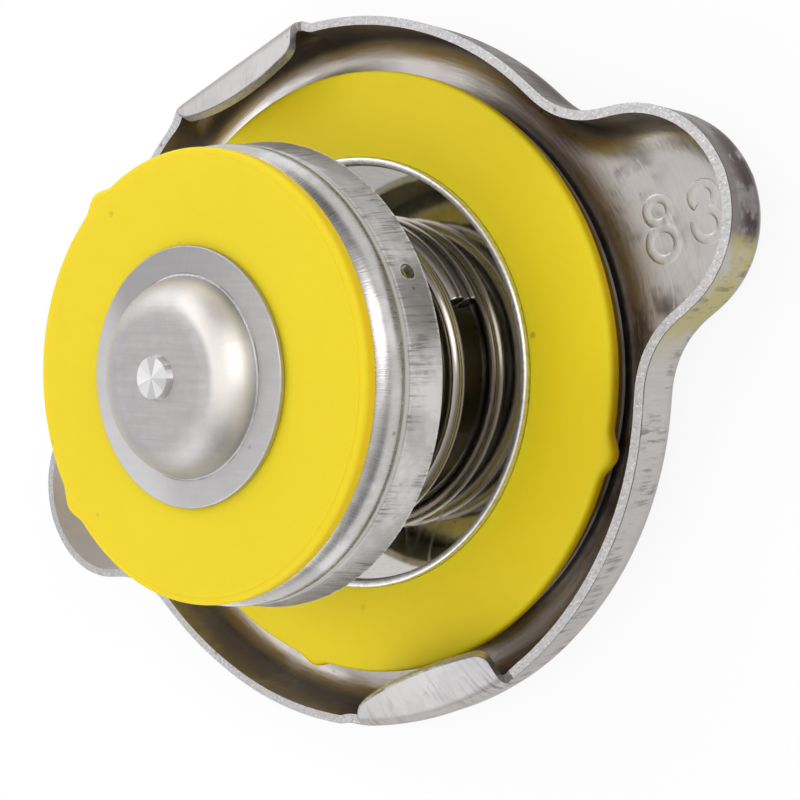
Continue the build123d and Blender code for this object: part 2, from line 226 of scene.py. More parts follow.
def half_outline(samples):
    """Outside of the skirt from the right ear's tip (0) to the middle of the tab's
    side (1), at samples in between.

    It is three arcs, each given by its centre, radius and turning: the nose of
    the ear, the hollow neck and the round skirt."""
    nose_x = ear_reach - ear_nose_radius
    far = skirt_radius + neck_radius
    near = ear_nose_radius + neck_radius
    neck_x = (far ** 2 - near ** 2 + nose_x ** 2) / (2 * nose_x)
    neck_y = math.sqrt(far ** 2 - neck_x ** 2)
    nose_turn = math.atan2(neck_y, neck_x - nose_x)
    neck_end = math.atan2(neck_y, neck_x)
    lengths = np.array((
        ear_nose_radius * nose_turn,
        neck_radius * (nose_turn - neck_end),
        skirt_radius * (math.pi / 2 - neck_end),
    ))
    ends = np.cumsum(lengths)
    s = samples * ends[-1]
    nose = s / ear_nose_radius
    neck = nose_turn - (s - ends[0]) / neck_radius
    skirt = neck_end + (s - ends[1]) / skirt_radius
    turn = np.where(s < ends[0], nose, np.where(s < ends[1], neck, skirt))
    out = np.stack((np.cos(turn), np.sin(turn)), -1)
    on_nose = np.array((nose_x, 0)) + ear_nose_radius * out
    on_neck = np.array((neck_x, neck_y)) - neck_radius * out
    on_skirt = skirt_radius * out
    before_neck, before_skirt = (s < ends[0])[:, None], (s < ends[1])[:, None]
    return np.where(before_neck, on_nose, np.where(before_skirt, on_neck, on_skirt))


def eased(values, width):
    """Running mean with raised cosine weights over an odd number of neighbours; the
    row carries on past its ends, turned about its end points."""
    pad = width // 2
    held = np.pad(values, ((pad, pad), (0, 0)), mode="reflect", reflect_type="odd")
    kernel = np.hanning(width + 2)[1:-1]
    kernel /= kernel.sum()
    return np.stack([np.convolve(held[:, k], kernel, mode="valid") for k in (0, 1)], -1)


def disc_height(radius):
    """Outer face of crown and deck: recess floor, crown at zero, then the deck ring."""
    inside, outside = (recess_radius + offset for offset in recess_wall)
    recess = recess_depth * (1 - smooth_step(inside, outside, radius))
    inside, outside = (crown_radius + offset for offset in crown_step)
    return recess + deck_height * smooth_step(inside, outside, radius)


def shell_columns():
    """Columns of one side of the shell, from the right ear's tip to the left ear's:
    points on the outline, outward directions, and the number of the last column
    of the notch, which the tab's first one doubles."""
    ears = eased(half_outline(np.linspace(0, 1, outline_columns)), outline_easing)
    ears = ears[ears[:, 0] > tab_zone]
    before_count, notch_count = notch_columns
    notch_x = np.concatenate((
        np.linspace(tab_zone, notch_end, before_count, endpoint=False),
        np.linspace(notch_end, tab_end, notch_count),
    ))
    corner_count, edge_count, nose_count = tab_columns
    corner_turn = np.linspace(0, math.pi / 2, corner_count)
    arc_x = np.concatenate((
        notch_x,
        tab_end - tab_corner_radius * (1 - np.cos(corner_turn)),
        steps(tab_end - tab_corner_radius, tab_start + nose_width, edge_count),
        tab_start + nose_width * (1 - np.sin(steps(0, math.pi / 2, nose_count))),
        steps(tab_start, run_out_end, run_out_columns),
        (last_column, -tab_zone),
    ))
    on_arc = np.stack((arc_x, np.sqrt(skirt_radius ** 2 - arc_x ** 2)), -1)
    plan = np.vstack((ears, on_arc, (ears * (-1, 1))[::-1]))
    plan[(0, -1), 1] = 0
    heading = np.gradient(plan, axis=0)
    out = np.stack((heading[:, 1], -heading[:, 0]), -1)
    out[len(ears):len(ears) + len(on_arc)] = on_arc
    out[0], out[-1] = (1, 0), (-1, 0)
    out /= np.linalg.norm(out, axis=1)[:, None]
    return plan, out, len(ears) + len(notch_x) - 1


def sheet_past_bend(x, rim, in_zone, is_tab):
    """Length of sheet past the bend line in each column: up to the plain rim, down
    to the notch beside the tab, and in the tab round the bend to its free edge,
    an arc whose corner is a quarter circle and whose nose is an ellipse."""
    flap = tab_depth - tab_edge_radius + np.sqrt(
        np.maximum(tab_edge_radius ** 2 - (x - tab_middle) ** 2, 0)
    )
    near_corner = np.clip((x - tab_end + tab_corner_radius) / tab_corner_radius, 0, 1)
    flap -= tab_corner_radius * (1 - np.sqrt(1 - near_corner ** 2))
    full = tab_bend_radius * tab_bend_angle + flap
    plain = rim - fold_height
    notched = smooth_step(tab_end + notch_floor, notch_end, x)
    plain = np.where(
        (x > tab_end - column_slack) & (x < notch_end) & in_zone,
        (notch_height - fold_height) + (plain - notch_height + fold_height) * notched, plain,
    )
    near_nose = np.clip((tab_start + nose_width - x) / nose_width, 0, 1)
    return np.where(is_tab, plain + (full - plain) * np.sqrt(1 - near_nose ** 2), plain)


def shell_side(flatness):
    """One side of the outer face of the pressed sheet: points, distance below the
    rim and the quads to keep.

    Columns follow the outline. Rows run from the rivet hole over the crown and
    deck, round the drawn corner as a quarter circle, up the wall, and past the
    bend line by a developed length s. In a tab the direction of s turns by
    s / tab_bend_radius up to the bend angle; elsewhere it stays upright."""
    plan, out, slit = shell_columns()
    x = plan[:, 0]
    angle = np.arctan2(plan[:, 1], x)
    round_face = np.stack((np.cos(angle), np.sin(angle)), -1)
    rim = rim_height + ear_rim_rise * smooth_step(rim_rise_start, rim_rise_end, np.abs(x))
    in_zone = plan[:, 1] > tab_side
    rows, below = [], []

    def add_row(spot, height, gap):
        rows.append(np.column_stack((spot, np.broadcast_to(height, len(x)))))
        below.append(np.broadcast_to(gap, len(x)))

    # crown and deck as circles, then out to where the drawn corner starts
    for radius in face_rings:
        add_row(round_face * radius, disc_height(radius), far_below)
    inner = round_face * face_rings[-1]
    corner_start = plan - out * corner_radius
    for t in steps(0, 1, deck_rows):
        add_row(inner + (corner_start - inner) * t, deck_height, far_below)
    for turn in steps(0, math.pi / 2, corner_rows):
        height = deck_height + corner_radius * (1 - math.cos(turn))
        add_row(plan - out * corner_radius * (1 - math.sin(turn)), height, rim - height)

    # the wall up to the bend line, flattened under the tab
    near_tab = smooth_step(run_out_end, tab_start + tab_run_in, x)
    near_tab *= 1 - smooth_step(tab_end + flat_fade[0], tab_end + flat_fade[1], x)
    near_tab *= in_zone
    shift = (fold_distance - plan[:, 1]) * near_tab * flatness
    for height in steps(deck_height + corner_radius, fold_height, wall_rows):
        lean = smooth_step(wall_bend_start, fold_height, height)
        add_row(plan + np.stack((0 * x, shift * lean), -1), height, rim - height)
    base = rows[-1]

    # past the bend line
    inward = -out * (1 - near_tab)[:, None] + np.array((0, -1)) * near_tab[:, None]
    inward /= np.linalg.norm(inward, axis=1)[:, None]
    is_tab = (np.arange(len(x)) > slit) & (x >= tab_start) & in_zone
    length = sheet_past_bend(x, rim, in_zone, is_tab)
    bend = tab_bend_angle * smooth_step(run_out_end, tab_start + tab_run_in, x)
    bend *= 1 - smooth_step(tab_end, notch_end, x)
    bend = np.where(in_zone, bend, 0)
    shared = notch_height - fold_height
    developed = [shared * t + 0 * x for t in steps(0, 1, rim_rows)]
    developed += [shared + (length - shared) * t for t in steps(0, 1, flap_rows)]
    for s in developed:
        turn = np.minimum(s / tab_bend_radius, bend)
        straight = s - turn * tab_bend_radius
        across = tab_bend_radius * (1 - np.cos(turn)) + straight * np.sin(turn)
        along = tab_bend_radius * np.sin(turn) + straight * np.cos(turn)
        add_row(base[:, :2] + inward * across[:, None], base[:, 2] + along, length - s)
    half = np.stack(rows, axis=1)
    keep = np.ones((len(x) - 1, half.shape[1] - 1), bool)
    keep[slit, -flap_rows:] = False
    return half, np.stack(below, axis=1), keep


def shell_mesh():
    """The shell's outer face: one side, and the other side mirrored in y."""
    back, back_below, back_keep = shell_side(back_flatness)
    front, front_below, front_keep = shell_side(front_flatness)
    whole = np.concatenate((back, front[::-1] * (1, -1, 1)))
    between = np.zeros((1, back_keep.shape[1]), bool)
    keep = np.vstack((back_keep, between, front_keep[::-1]))
    mesh = grid_mesh("cap_shell", whole, keep=keep)
    mark = mesh.attributes.new("below_rim", "FLOAT", "POINT")
    mark.data.foreach_set("value", np.concatenate((back_below, front_below[::-1])).ravel())
    return mesh


def stroke_mesh(strokes, low):
    """Pressed-up numeral: each stroke is an arc of an ellipse, and its section is a
    low pad across the path, flat on top with rounded sides."""
    across = np.array((-1.0, -0.8, -0.5, 0.0, 0.5, 0.8, 1.0)) * numeral_half_width
    rise = (numeral_rise + numeral_sink) * np.array((0, 0.5, 0.88, 1, 0.88, 0.5, 0))
    pad = low - numeral_sink + rise
    mesh = bmesh.new()
    for centre_x, centre_y, reach_x, reach_y, first, last in strokes:
        turn = np.radians(np.linspace(first, last, numeral_columns))
        path = np.stack((centre_x + reach_x * np.cos(turn), centre_y + reach_y * np.sin(turn)), -1)
        normal = np.stack((reach_y * np.cos(turn), reach_x * np.sin(turn)), -1)
        normal /= np.linalg.norm(normal, axis=1)[:, None]
        spots = path[:, None, :] + normal[:, None, :] * across[None, :, None]
        heights = np.broadcast_to(pad[None, :, None], (len(path), len(pad), 1))
        part = grid_mesh("stroke", np.concatenate((spots, heights), -1))
        mesh.from_mesh(part)
        bpy.data.meshes.remove(part)
    made = bpy.data.meshes.new("numeral")
    mesh.to_mesh(made)
    mesh.free()
    return made


# Rings turned from a section

def turned(name, section, swell):
    """Ring turned from a closed section of (radius, height) points.

    A point at angle a lies at radius * (cos a, sin a); swell(a, radius, height)
    adds to the radius."""
    angle = np.linspace(0, 2 * math.pi, ring_columns, endpoint=False)[:, None]
    radius = section[None, :, 0]
    height = section[None, :, 1] + 0 * angle
    radius = radius + swell(angle, radius, height)
    points = np.stack((radius * np.cos(angle), radius * np.sin(angle), height), -1)
    return grid_mesh(name, points, closed_columns=True)


def rounded_section(corners):
    """Closed section from the radius, height and rounding of its corners: each is
    a quadratic curve between two points one rounding away from the corner."""
    table = np.array(corners, float)
    corners, rounds = table[:, :2], table[:, 2]
    t = np.linspace(0, 1, rounding_points)[:, None]
    points = []
    for k, spot in enumerate(corners):
        before = corners[k - 1] - spot
        after = corners[(k + 1) % len(corners)] - spot
        start = spot + before / np.linalg.norm(before) * rounds[k]
        end = spot + after / np.linalg.norm(after) * rounds[k]
        points.append(start * (1 - t) ** 2 + spot * 2 * t * (1 - t) + end * t ** 2)
    points = np.vstack(points)
    return np.vstack((points, points[:1]))


def moulding_nubs(angles, outside, bottom, top):
    """Swell of raised cosine bumps at angles in degrees: each fades inwards from the
    outer edge by a smooth step, and towards both faces by a power of a parabola."""
    def swell(angle, radius, height):
        total = 0 * angle + 0 * radius
        for centre in angles:
            off = (angle - math.radians(centre) + math.pi) % (2 * math.pi) - math.pi
            along = np.clip(np.abs(off) * outside / nub_half_width, 0, 1)
            total = total + nub_reach * (0.5 + 0.5 * np.cos(math.pi * along))
        outer = smooth_step(outside - nub_depth, outside, radius)
        middle = np.clip((height - bottom) * (top - height) * 4 / (top - bottom) ** 2, 0, 1)
        return total * outer * middle ** nub_fullness
    return swell


# Springs

def coil_mesh(name, low, high, coil_radius, wire, spans, start_angle):
    """Round wire along a right-hand helix between the heights low and high.

    The middle of the wire lies at coil_radius * (cos a, sin a), where a is the
    start angle plus the turns made, and climbs by each span's pitch. Its circle
    lies across the path, and shrinks over a short way to close both cut ends."""
    turns = np.array([span[0] for span in spans], float)
    fixed = sum(count * pitch for count, pitch in spans if pitch)
    free = high - low - 2 * wire - fixed
    climbs = np.array([count * pitch if pitch else free for count, pitch in spans])
    turn_marks = np.concatenate(((0,), np.cumsum(turns)))
    height_marks = np.concatenate(((0,), np.cumsum(climbs))) + low + wire
    near = np.array(cut_distances) * wire / (2 * math.pi * coil_radius)
    along = np.linspace(0, turns.sum(), int(turns.sum() * points_per_turn))[1:-1]
    turn = np.concatenate((near, along, turns.sum() - near[::-1]))
    swell = np.concatenate((cut_sizes, np.ones(len(along)), cut_sizes[::-1])) * wire
    angle = math.radians(start_angle) + 2 * math.pi * turn
    out = np.stack((np.cos(angle), np.sin(angle), 0 * angle), -1)
    height = np.interp(turn, turn_marks, height_marks)
    middle = coil_radius * out + np.stack((0 * height, 0 * height, height), -1)
    slope = np.interp(turn, turn_marks[:-1] + turns / 2, climbs / turns) / (2 * math.pi)
    path = np.stack((-np.sin(angle) * coil_radius, np.cos(angle) * coil_radius, slope), -1)
    path /= np.linalg.norm(path, axis=1)[:, None]
    up = np.cross(out, path)
    round_wire = np.linspace(0, 2 * math.pi, points_round_wire, endpoint=False)[:, None, None]
    points = middle + swell[:, None] * (out * np.cos(round_wire) + up * np.sin(round_wire))
    return grid_mesh(name, points, closed_columns=True)


def coil_piece(name, replaced, body, coil_radius, wire, spans, start_angle=0.0):
    """Spring between the heights of the solid that it stands for, which it hides, attached to the
    given body."""
    low, high = (corner[2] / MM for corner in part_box(replaced))
    mesh = merged(coil_mesh(name, low, high, coil_radius, wire, spans, start_angle))
    made = piece(name, mesh, spring_steel)
    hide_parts(replaced)
    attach(made, body)
    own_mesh(made)


# Node helpers: each adds its nodes to a tree and returns an output

def new_material(name):
    """Node material, its tree and its Principled shader."""
    made = bpy.data.materials.new(name)
    made.use_nodes = True
    return made, made.node_tree, made.node_tree.nodes["Principled BSDF"]


def feed(tree, made, inputs):
    """Link or set a node's numbered or named inputs."""
    for socket, content in inputs.items():
        if isinstance(content, bpy.types.NodeSocket):
            tree.links.new(content, made.inputs[socket])
        else:
            made.inputs[socket].default_value = content


def node(tree, kind, inputs, **settings):
    """Any node with its inputs and properties; returns the node."""
    made = tree.nodes.new(kind)
    for key, value in settings.items():
        setattr(made, key, value)
    feed(tree, made, inputs)
    return made


def maths(tree, operation, first, second=0.0, third=0.0):
    """One sum, product or other operation on numbers."""
    inputs = {0: first, 1: second, 2: third}
    return node(tree, "ShaderNodeMath", inputs, operation=operation).outputs[0]


def both(tree, first, *more):
    """Product of masks."""
    for mask in more:
        first = maths(tree, "MULTIPLY", first, mask)
    return first


def added(tree, level, mask, amount):
    """A level plus an amount times a mask."""
    return maths(tree, "MULTIPLY_ADD", mask, amount, level)


def ramp(tree, value, low, high, low_result=0.0, high_result=1.0):
    """Smooth step from one result at low to the other at high."""
    return node(tree, "ShaderNodeMapRange", {
        "Value": value, "From Min": low, "From Max": high,
        "To Min": low_result, "To Max": high_result,
    }, interpolation_type="SMOOTHSTEP").outputs["Result"]


def band(tree, value, low, high, soft):
    """1 between low and high, fading over soft on both sides."""
    rise = ramp(tree, value, low - soft, low)
    return both(tree, rise, ramp(tree, value, high, high + soft, 1.0, 0.0))


def mix_colour(tree, factor, first, second):
    """First colour where the factor is 0, second where it is 1."""
    pair = [
        colour if isinstance(colour, bpy.types.NodeSocket) else (*colour, 1)
        for colour in (first, second)
    ]
    inputs = {0: factor, 6: pair[0], 7: pair[1]}
    return node(tree, "ShaderNodeMix", inputs, data_type="RGBA").outputs[2]


def painted(tree, tone, *layers):
    """The tone with layers laid over it in order, each a colour and the masks whose
    product says how much of it shows."""
    for colour, *masks in layers:
        tone = mix_colour(tree, both(tree, *masks), tone, colour)
    return tone


def noise(tree, place, scale, detail=2.0, roughness=0.5, distortion=0.0):
    """Cloudy noise between about 0.3 and 0.7."""
    return node(tree, "ShaderNodeTexNoise", {
        "Vector": place, "Scale": scale, "Detail": detail, "Roughness": roughness,
        "Distortion": distortion,
    }).outputs[0]


def cells(tree, place, scale):
    """Small cells: distance from the middle of each, and its own chance."""
    made = node(tree, "ShaderNodeTexVoronoi", {"Vector": place, "Scale": scale})
    chance = node(tree, "ShaderNodeSeparateColor", {0: made.outputs["Color"]})
    return made.outputs["Distance"], chance.outputs[0]


def bump(tree, height, distance, strength):
    """Normal of a bumpy surface."""
    return node(tree, "ShaderNodeBump", {
        "Height": height, "Distance": distance, "Strength": strength,
    }).outputs[0]


def object_place(tree):
    """Object coordinates, in metres."""
    return tree.nodes.new("ShaderNodeTexCoord").outputs["Object"]


def split(tree, place):
    """The x, y and z of a place."""
    return node(tree, "ShaderNodeSeparateXYZ", {0: place}).outputs


def cylinder_place(tree, place):
    """Radius, angle and height of a place round the cap's axis."""
    x, y, z = split(tree, place)
    square = maths(tree, "ADD", both(tree, x, x), both(tree, y, y))
    return maths(tree, "SQRT", square), maths(tree, "ARCTAN2", y, x), z


def scaled(tree, values, factors):
    """Vector of three values, each times its factor."""
    products = [both(tree, value, factor) for value, factor in zip(values, factors)]
    return node(tree, "ShaderNodeCombineXYZ", dict(enumerate(products))).outputs[0]


def either(tree, choice, first, second):
    """First vector where the choice is 0, second where it is 1."""
    inputs = {0: choice, 4: first, 5: second}
    return node(tree, "ShaderNodeMix", inputs, data_type="VECTOR").outputs[1]


def spun(tree, place, turn):
    """A place turned about the cap's axis."""
    inputs = {"Vector": place, "Angle": turn}
    return node(tree, "ShaderNodeVectorRotate", inputs, rotation_type="Z_AXIS").outputs[0]


# Effects that several materials share, as node groups

def new_group(name, numbers, outputs):
    """Node group with Object coordinates as Place, number inputs and outputs;
    returns it with the sockets that it reads and the ones that it writes."""
    group = bpy.data.node_groups.new(name, "ShaderNodeTree")
    group.interface.new_socket("Place", in_out="INPUT", socket_type="NodeSocketVector")
    for label, value in numbers.items():
        socket = group.interface.new_socket(label, in_out="INPUT", socket_type="NodeSocketFloat")
        socket.default_value = value
    for label in outputs:
        group.interface.new_socket(label, in_out="OUTPUT", socket_type="NodeSocketFloat")
    entry = group.nodes.new("NodeGroupInput").outputs
    leave = group.nodes.new("NodeGroupOutput").inputs
    return group, entry, leave


def grain_group():
    """Fine grain that runs round the axis (lay = 0) or across it (lay = 1)."""
    group, entry, leave = new_group(
        "turned grain", {"Fineness": 9000.0, "Lay": 0.0, "Contrast": 1.4}, ("Grain",)
    )
    radius, angle, height = cylinder_place(group, entry["Place"])
    fine = entry["Fineness"]
    # cycles per metre of radius and height, and per radian of angle
    round_lay = scaled(group, (radius, angle, height), (fine, 14.0, fine))
    cross_lay = scaled(group, (angle, radius, height), (both(group, fine, 0.02), 500.0, 500.0))
    chosen = either(group, entry["Lay"], round_lay, cross_lay)
    centred = maths(group, "SUBTRACT", noise(group, chosen, 1.0, 4.0, 0.62), 0.5)
    spread = maths(group, "MULTIPLY_ADD", centred, entry["Contrast"], 0.5)
    group.links.new(spread, leave["Grain"])
    return group


def blotch_group():
    """Soft cloudy patches and small sharp specks on a handled surface."""
    group, entry, leave = new_group(
        "blotches and specks", {"Patch": 0.006, "Speck": 0.0011, "Amount": 0.12},
        ("Patches", "Specks"),
    )
    place = entry["Place"]
    patches = noise(group, place, maths(group, "DIVIDE", 1.0, entry["Patch"]), 5.0, 0.6)
    distance, chance = cells(group, place, maths(group, "DIVIDE", 1.0, entry["Speck"]))
    small = ramp(group, distance, 0.10, 0.22, 1.0, 0.0)
    rare = ramp(group, chance, maths(group, "SUBTRACT", 1.0, entry["Amount"]), 1.0)
    group.links.new(patches, leave["Patches"])
    group.links.new(both(group, small, rare), leave["Specks"])
    return group


def scratch_group():
    """Thin scratches: lines where a stretched noise crosses its middle value."""
    group, entry, leave = new_group(
        "fine scratches", {"Spacing": 0.005, "Width": 0.012, "Turn": 0.7}, ("Scratches",)
    )
    stretched = node(group, "ShaderNodeVectorMath", {
        0: spun(group, entry["Place"], entry["Turn"]), 1: (1.0, 0.12, 0.5),
    }, operation="MULTIPLY").outputs[0]
    scale = maths(group, "DIVIDE", 1.0, entry["Spacing"])
    value = noise(group, stretched, scale, 2.0, 0.5, 0.4)
    off = maths(group, "ABSOLUTE", maths(group, "SUBTRACT", value, 0.5))
    group.links.new(ramp(group, off, 0.0, entry["Width"], 1.0, 0.0), leave["Scratches"])
    return group


def brushed_group():
    """Straight brushed lines: noise stretched along one direction in the XY plane."""
    group, entry, leave = new_group("brushed lines", {"Turn": 0.4, "Fineness": 5000.0}, ("Lines",))
    fine = entry["Fineness"]
    apart = split(group, spun(group, entry["Place"], entry["Turn"]))
    along = 160.0     # cycles per metre along the lines
    spot = scaled(group, apart, (along, fine, fine))
    group.links.new(noise(group, spot, 1.0, 3.0, 0.6), leave["Lines"])
    return group


def draw_marks_group():
    """Short marks left by the drawing die, in patches: strokes along the wall's
    height (lay = 0), or round the axis on a flat face (lay = 1). A lower low makes
    more of them."""
    group, entry, leave = new_group("draw marks", {"Lay": 0.0, "Low": 0.55}, ("Marks",))
    radius, angle, height = cylinder_place(group, entry["Place"])
    # cycles per radian of angle, and per metre of radius and height
    up_lay = scaled(group, (angle, radius, height), (95.0, 150.0, 330.0))
    round_lay = scaled(group, (angle, radius, height), (9.0, 2600.0, 330.0))
    strokes = noise(group, either(group, entry["Lay"], up_lay, round_lay), 1.0, 4.0, 0.65)
    patches = noise(group, entry["Place"], 190.0, 3.0, 0.6)
    sharp = ramp(group, strokes, entry["Low"], maths(group, "ADD", entry["Low"], 0.09))
    group.links.new(both(group, sharp, ramp(group, patches, 0.42, 0.62)), leave["Marks"])
    return group


def use_group(tree, group, place, **numbers):
    """A group's outputs, with Object coordinates and its own numbers fed in."""
    inputs = {"Place": place, **numbers}
    return node(tree, "ShaderNodeGroup", inputs, node_tree=group).outputs


grain = grain_group()
brushed = brushed_group()
draw_marks = draw_marks_group()
blotches = blotch_group()
scratches = scratch_group()


# Marks on the steel, some of them painted light, shade and reflections: each changes the tone and
# roughness level by place, in metres

# painted reflections on the outer wall of the right ear: dark maroon, pale patches, yellow
maroon_painted_reflection = (0.040, 0.018, 0.020)
pale_painted_reflection = (0.42, 0.40, 0.41)
yellow_painted_reflection = (0.50, 0.44, 0.13)
wall_stroke = (0.17, 0.15, 0.14)
flap_stroke = (0.24, 0.225, 0.22)
# painted shade that dims the flaps, more at the front
flap_painted_shade = (0.35, 0.34, 0.335)
# dark band just below the rim
dark_band_below_rim = (0.09, 0.08, 0.075)
# brown painted shade beside the gasket in the right ear, also over its streaks
ear_painted_shade = (0.12, 0.09, 0.075)
ear_streak_and_painted_shade = (0.10, 0.08, 0.068)
# painted light on the back of the deck
deck_painted_light = (0.95, 0.93, 0.91)
# painted shade on the inside wall
wall_shade = (0.14, 0.125, 0.125)
wall_warm = (0.36, 0.31, 0.28)
# painted light on the left ear
left_ear_painted_light = (0.93, 0.905, 0.89)
cup_stroke = (0.16, 0.145, 0.14)
cup_cloud = (0.26, 0.25, 0.25)
cup_bare = (0.80, 0.79, 0.78)
worn_edge = (0.86, 0.85, 0.84)
# painted light round the cup's crease, and painted shade in it
crease_painted_light = (0.80, 0.80, 0.82)
crease_painted_shade = (0.22, 0.20, 0.18)
bright_steel = (0.90, 0.89, 0.88)
plate_rim = (0.86, 0.85, 0.83)
shear_pit = (0.34, 0.325, 0.315)
# painted shade in the dome's crease
dome_crease_painted_shade = (0.20, 0.185, 0.175)
dome_line = (0.36, 0.345, 0.335)
dome_mottle = (0.40, 0.385, 0.375)
# painted light and shade on the vacuum plate's ring and left side, and a painted highlight on its
# shoulder
ring_front_painted_light = (0.76, 0.75, 0.745)
ring_back_painted_shade = (0.36, 0.35, 0.345)
dome_left_painted_light = (0.80, 0.79, 0.785)
dome_painted_highlight = (0.97, 0.92, 0.85)


def shell_outside_marks(tree, place, tone, level):
    """Outside of the shell: painted reflections on the right ear's wall, dark maroon with pale
    patches on its high side and yellow on its low side, strokes of the die on the wall and
    the flaps, painted shade that dims the flaps, and a dark band just below the rim."""
    x, y, z = split(tree, place)
    strokes = use_group(tree, draw_marks, place, Lay=0.0, Low=0.50)["Marks"]
    patches = noise(tree, place, 210.0, 4.0, 0.7)
    wall = ramp(tree, z, 0.003, 0.0045)
    high_side = both(tree, ramp(tree, y, -0.0054, -0.0040), ramp(tree, x, 0.009, 0.013))
    dark = both(tree, wall, high_side, ramp(tree, patches, 0.30, 0.40))
    mid_wall = band(tree, z, 0.0045, 0.0070, 0.0006)
    low_side = both(tree, wall, band(tree, y, -0.016, -0.0050, 0.0012), ramp(tree, x, 0.027, 0.031))
    off_middle = ramp(tree, maths(tree, "ABSOLUTE", y), 0.022, 0.024)
    flap = both(tree, ramp(tree, z, 0.0079, 0.0084), off_middle)
    not_flap = maths(tree, "SUBTRACT", 1.0, flap)
    front = ramp(tree, y, -0.022, -0.020, 1.0, 0.75)
    below = node(tree, "ShaderNodeAttribute", {}, attribute_name="below_rim").outputs["Fac"]
    rim_band = ramp(tree, below, 0.10, 0.22, 1.0, 0.0)
    tone = painted(
        tree, tone,
        (maroon_painted_reflection, dark, ramp(tree, z, 0.0055, 0.0078, 0.96, 0.62)),
        (pale_painted_reflection, dark, ramp(tree, patches, 0.50, 0.62), mid_wall, 0.5),
        (yellow_painted_reflection, low_side, ramp(tree, patches, 0.34, 0.56), 0.8),
        (wall_stroke, wall, strokes, not_flap, 0.62),
        (flap_stroke, flap, strokes, 0.35),
        (flap_painted_shade, flap, front, ramp(tree, patches, 0.44, 0.60, 0.70, 0.95)),
        (dark_band_below_rim, rim_band, ramp(tree, patches, 0.35, 0.5, 0.4), 0.85),
    )
    return tone, added(tree, level, strokes, 0.15)


def shell_inside_marks(tree, place, tone, level):
    """Inside of the shell: brown painted shade beside the gasket in the right ear, also over
    the die's streaks there, painted light on the back of the deck, painted shade on the wall
    towards the right under fine strokes, and painted light on the left ear."""
    radius, _, height = cylinder_place(tree, place)
    x, y, _ = split(tree, place)
    streaks = use_group(tree, draw_marks, place, Lay=1.0, Low=0.40)["Marks"]
    fine = use_group(tree, draw_marks, place, Lay=0.0, Low=0.45)["Marks"]
    ceiling = ramp(tree, height, 0.0034, 0.0026)
    wall = ramp(tree, height, 0.0028, 0.0036)
    right_ear = both(tree, ceiling, ramp(tree, x, 0.008, 0.020))
    left_ear = ramp(tree, x, -0.029, -0.025, 0.85, 0.0)
    tone = painted(
        tree, tone,
        (ear_painted_shade, right_ear, ramp(tree, radius, 0.0258, 0.0285, 1.0, 0.0), 0.62),
        (ear_streak_and_painted_shade, right_ear, ramp(tree, radius, 0.0285, 0.0325, 1.0, 0.0), streaks, 0.9),
        (deck_painted_light, ceiling, ramp(tree, y, 0.014, 0.020), 0.75),
        (wall_shade, wall, ramp(tree, x, -0.014, -0.008, 0.0, 0.66)),
        (wall_warm, wall, fine, 0.35),
        (left_ear_painted_light, left_ear),
    )
    return tone, added(tree, added(tree, level, left_ear, 0.16), streaks, 0.1)


def sheared_marks(tree, place, tone, level):
    """Sheared rim: coarse grains, some of them dark pits and some bright."""
    _, chance = cells(tree, place, 7500.0)
    pits = ramp(tree, chance, 0.0, 0.5, 0.42, 0.0)
    glints = ramp(tree, chance, 0.8, 1.0, 0.0, 0.4)
    return painted(tree, tone, (shear_pit, pits), (bright_steel, glints)), level


def cup_marks(tree, place, tone, level):
    """Cup: a bright worn edge, painted light in a band round a thin line of painted shade in
    the crease, strokes, clouds and bare patches on the wall, a faint painted highlight round
    the vent, and a shoulder polished above the crease."""
    x, y, height = split(tree, place)
    strokes = use_group(tree, draw_marks, place, Lay=0.0, Low=0.50)["Marks"]
    clouds = noise(tree, place, 150.0, 4.0, 0.65)
    edge = ramp(tree, height, cup_edge * MM + 0.00012, cup_edge * MM + 0.0003, 1.0, 0.0)
    hollow = band(tree, height, (cup_crease - 0.15) * MM, (cup_crease + 0.35) * MM, 0.0002)
    crease = band(tree, height, (cup_crease - 0.06) * MM, (cup_crease + 0.02) * MM, 0.00005)
    wall = ramp(tree, height, (cup_crease + 0.2) * MM, (cup_crease - 0.2) * MM)
    off_y = maths(tree, "SUBTRACT", y, vent_y * MM)
    off_z = maths(tree, "SUBTRACT", height, (cup_edge + cup_crease) / 2 * MM)
    from_vent = maths(tree, "SQRT", added(tree, both(tree, off_z, off_z), off_y, off_y))
    # painted highlight on the raised rim round the vent
    ring = both(tree, band(tree, from_vent, 0.00055, 0.00066, 0.0001), ramp(tree, x, 0.0, 0.001))
    tone = painted(
        tree, tone,
        (worn_edge, edge, ramp(tree, noise(tree, place, 3000.0), 0.35, 0.6)),
        (crease_painted_light, hollow, 0.8),
        (crease_painted_shade, crease, 0.4),
        (cup_stroke, wall, strokes, 0.75),
        (cup_cloud, wall, ramp(tree, clouds, 0.52, 0.66), 0.3),
        (cup_bare, ramp(tree, clouds, 0.54, 0.36, 0.0, 0.75)),
        (bright_steel, ring, 0.25),
    )
    level = added(tree, level, hollow, 0.3)
    polished = ramp(tree, height, (cup_crease + 0.3) * MM, (cup_crease + 0.8) * MM, 0.0, -0.035)
    return tone, added(tree, maths(tree, "ADD", level, polished), edge, 0.2)


def plate_marks(tree, place, tone, level):
    """Spring plate: polished inside, with a satin turned-up rim."""
    rim = ramp(tree, split(tree, place)[2], (plate_face + 0.12) * MM, (plate_face + 0.35) * MM)
    grains = ramp(tree, noise(tree, place, 2400.0), 0.3, 0.6, 0.5)
    return painted(tree, tone, (plate_rim, rim, grains)), added(tree, level, rim, 0.34)


